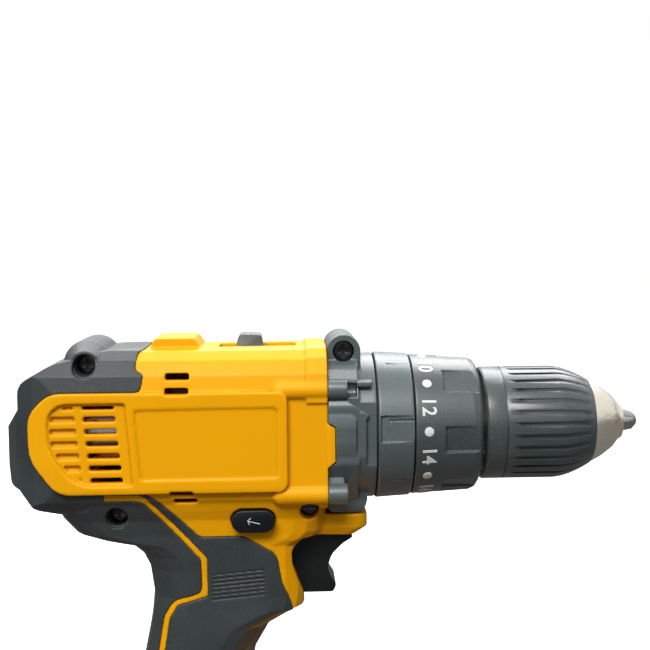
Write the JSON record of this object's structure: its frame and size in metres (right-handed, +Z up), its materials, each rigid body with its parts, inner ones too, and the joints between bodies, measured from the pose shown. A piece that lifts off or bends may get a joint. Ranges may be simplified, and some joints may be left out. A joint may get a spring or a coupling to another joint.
{
  "type": "cordless drill",
  "caption": "Pistol-grip cordless drill driver with a keyless chuck, torque ring, mode ring, top speed selector, trigger and a slide-on battery in its foot.",
  "frame": {"origin": "centre of the battery's flat base, under the grip", "axes": "+Z up out of the base, +X along the drive axis out of the chuck, +Y to the tool's left side"},
  "size_m": [0.2016, 0.0732, 0.1952],
  "materials": {
    "housing_yellow": "fine grained moulded plastic, satin",
    "rubber_black": "soft-touch moulded rubber, matt",
    "plastic_black": "fine spark-eroded grain, matt",
    "plastic_dark": "satin moulded plastic",
    "plastic_red": "satin moulded plastic",
    "steel": "ground steel",
    "steel_dark": "oiled dark steel",
    "nose_metal": "turned, champagne tinted",
    "copper": "lacquered copper windings",
    "brass": "turned brass",
    "lamp_clear": "clear lens",
    "cell_wrap": "shrink sleeve",
    "wire_red": "insulated wire"
  },
  "bodies": {
    "drill": {"right_shell": "housing_yellow", "left_shell": "housing_yellow", "right_overmold": "rubber_black", "left_overmold": "rubber_black", "shell_screws": "steel_dark", "gearbox_case": "plastic_black", "case_screws": "steel_dark", "motor_plate": "steel", "motor_can": "steel", "motor_magnets": "steel_dark", "motor_end_bell": "plastic_dark", "motor_brushes": "brass", "ring_gear": "steel", "front_bearing": "steel", "fixed_ratchet": "steel", "clutch_pins": "steel", "clutch_plate": "steel", "clutch_spring": "steel", "retaining_ring": "steel_dark", "switch_module": "plastic_dark", "work_lamp": "lamp_clear", "foot_terminals": "plastic_dark", "wiring": "wire_red", "trigger_spring": "steel", "hook_inserts": "brass"},
    "rotor": {"rotor_shaft": "steel", "armature": "copper", "commutator": "copper", "cooling_fan": "plastic_dark", "pinion": "steel"},
    "stage_one": {"first_carrier": "steel"},
    "planet_a1": {"first_planet_1": "steel"},
    "planet_a2": {"first_planet_2": "steel"},
    "planet_a3": {"first_planet_3": "steel"},
    "planet_b1": {"second_planet_1": "steel"},
    "planet_b2": {"second_planet_2": "steel"},
    "planet_b3": {"second_planet_3": "steel"},
    "output": {"spindle": "steel", "spindle_ratchet": "steel", "chuck_body": "nose_metal", "chuck_screw": "steel_dark"},
    "sleeve": {"chuck_sleeve": "plastic_black", "chuck_nut": "steel"},
    "jaw_a": {"jaw_1": "steel_dark"},
    "jaw_b": {"jaw_2": "steel_dark"},
    "jaw_c": {"jaw_3": "steel_dark"},
    "mode_collar": {"mode_ring": "plastic_black"},
    "torque_collar": {"torque_ring": "plastic_black"},
    "spring_nut": {"torque_nut": "brass"},
    "selector": {"speed_selector": "plastic_black", "shift_ring": "steel"},
    "trigger_key": {"trigger": "plastic_black"},
    "direction_key": {"direction_button": "plastic_black"},
    "battery": {"battery_case": "plastic_black", "battery_lid": "plastic_dark", "battery_cells": "cell_wrap", "cell_straps": "steel", "battery_terminals": "copper", "battery_screws": "steel_dark"},
    "latch": {"latch_button": "plastic_red"}
  },
  "joints": [
    {"name": "spindle_spin", "type": "hinge", "parent": "drill", "child": "output", "pos_m": [0.032, 0, 0.165], "axis": [1, 0, 0], "continuous": true},
    {"name": "rotor_spin", "type": "hinge", "parent": "drill", "child": "rotor", "pos_m": [0.032, 0, 0.165], "axis": [1, 0, 0], "continuous": true},
    {"name": "stage_one_spin", "type": "hinge", "parent": "drill", "child": "stage_one", "pos_m": [0.032, 0, 0.165], "axis": [1, 0, 0], "continuous": true},
    {"name": "planet_a1_spin", "type": "hinge", "parent": "stage_one", "child": "planet_a1", "pos_m": [0.02, 0.00975, 0.165], "axis": [1, 0, 0], "continuous": true},
    {"name": "planet_a2_spin", "type": "hinge", "parent": "stage_one", "child": "planet_a2", "pos_m": [0.02, -0.00487, 0.17344], "axis": [1, 0, 0], "continuous": true},
    {"name": "planet_a3_spin", "type": "hinge", "parent": "stage_one", "child": "planet_a3", "pos_m": [0.02, -0.00487, 0.15656], "axis": [1, 0, 0], "continuous": true},
    {"name": "planet_b1_spin", "type": "hinge", "parent": "output", "child": "planet_b1", "pos_m": [0.033, 0.00975, 0.165], "axis": [1, 0, 0], "continuous": true},
    {"name": "planet_b2_spin", "type": "hinge", "parent": "output", "child": "planet_b2", "pos_m": [0.033, -0.00487, 0.17344], "axis": [1, 0, 0], "continuous": true},
    {"name": "planet_b3_spin", "type": "hinge", "parent": "output", "child": "planet_b3", "pos_m": [0.033, -0.00487, 0.15656], "axis": [1, 0, 0], "continuous": true},
    {"name": "sleeve_turn", "type": "hinge", "parent": "output", "child": "sleeve", "pos_m": [0.032, 0, 0.165], "axis": [1, 0, 0], "range_deg": [0, 3470]},
    {"name": "jaw_a_slide", "type": "slide", "parent": "output", "child": "jaw_a", "axis": [-0.9659, 0, 0.2588], "range_m": [0, 0.0193]},
    {"name": "jaw_b_slide", "type": "slide", "parent": "output", "child": "jaw_b", "axis": [-0.9659, -0.2241, -0.1294], "range_m": [0, 0.0193]},
    {"name": "jaw_c_slide", "type": "slide", "parent": "output", "child": "jaw_c", "axis": [-0.9659, 0.2241, -0.1294], "range_m": [0, 0.0193]},
    {"name": "mode_turn", "type": "hinge", "parent": "drill", "child": "mode_collar", "pos_m": [0.032, 0, 0.165], "axis": [1, 0, 0], "range_deg": [-30, 30]},
    {"name": "torque_turn", "type": "hinge", "parent": "drill", "child": "torque_collar", "pos_m": [0.032, 0, 0.165], "axis": [1, 0, 0], "range_deg": [0, 320]},
    {"name": "nut_travel", "type": "slide", "parent": "torque_collar", "child": "spring_nut", "axis": [-1, 0, 0], "range_m": [0, 0.005], "deforming": ["clutch_spring"]},
    {"name": "speed_shift", "type": "slide", "parent": "drill", "child": "selector", "axis": [1, 0, 0], "range_m": [0, 0.007]},
    {"name": "trigger_squeeze", "type": "slide", "parent": "drill", "child": "trigger_key", "axis": [-1, 0, 0], "range_m": [0, 0.0065], "stiffness_N_per_m": 600, "springref_m": -0.002, "deforming": ["trigger_spring"]},
    {"name": "direction_press", "type": "slide", "parent": "drill", "child": "direction_key", "axis": [0, 1, 0], "range_m": [-0.003, 0.003]},
    {"name": "battery_slide", "type": "slide", "parent": "drill", "child": "battery", "axis": [1, 0, 0], "range_m": [0, 0.08]},
    {"name": "latch_press", "type": "slide", "parent": "battery", "child": "latch", "axis": [0, 0, -1], "range_m": [0, 0.0015], "stiffness_N_per_m": 900, "springref_m": -0.001}
  ],
  "couplings": [
    {"joint": "rotor_spin", "follows": "spindle_spin", "ratio": 25},
    {"joint": "stage_one_spin", "follows": "spindle_spin", "ratio": 5},
    {"joint": "planet_a1_spin", "follows": "spindle_spin", "ratio": -13.333},
    {"joint": "planet_a2_spin", "follows": "spindle_spin", "ratio": -13.333},
    {"joint": "planet_a3_spin", "follows": "spindle_spin", "ratio": -13.333},
    {"joint": "planet_b1_spin", "follows": "spindle_spin", "ratio": -2.6667},
    {"joint": "planet_b2_spin", "follows": "spindle_spin", "ratio": -2.6667},
    {"joint": "planet_b3_spin", "follows": "spindle_spin", "ratio": -2.6667},
    {"joint": "jaw_a_slide", "follows": "sleeve_turn", "m_per_rad": 0.00031831},
    {"joint": "jaw_b_slide", "follows": "sleeve_turn", "m_per_rad": 0.00031831},
    {"joint": "jaw_c_slide", "follows": "sleeve_turn", "m_per_rad": 0.00031831},
    {"joint": "nut_travel", "follows": "torque_turn", "m_per_rad": 0.00089127}
  ]
}
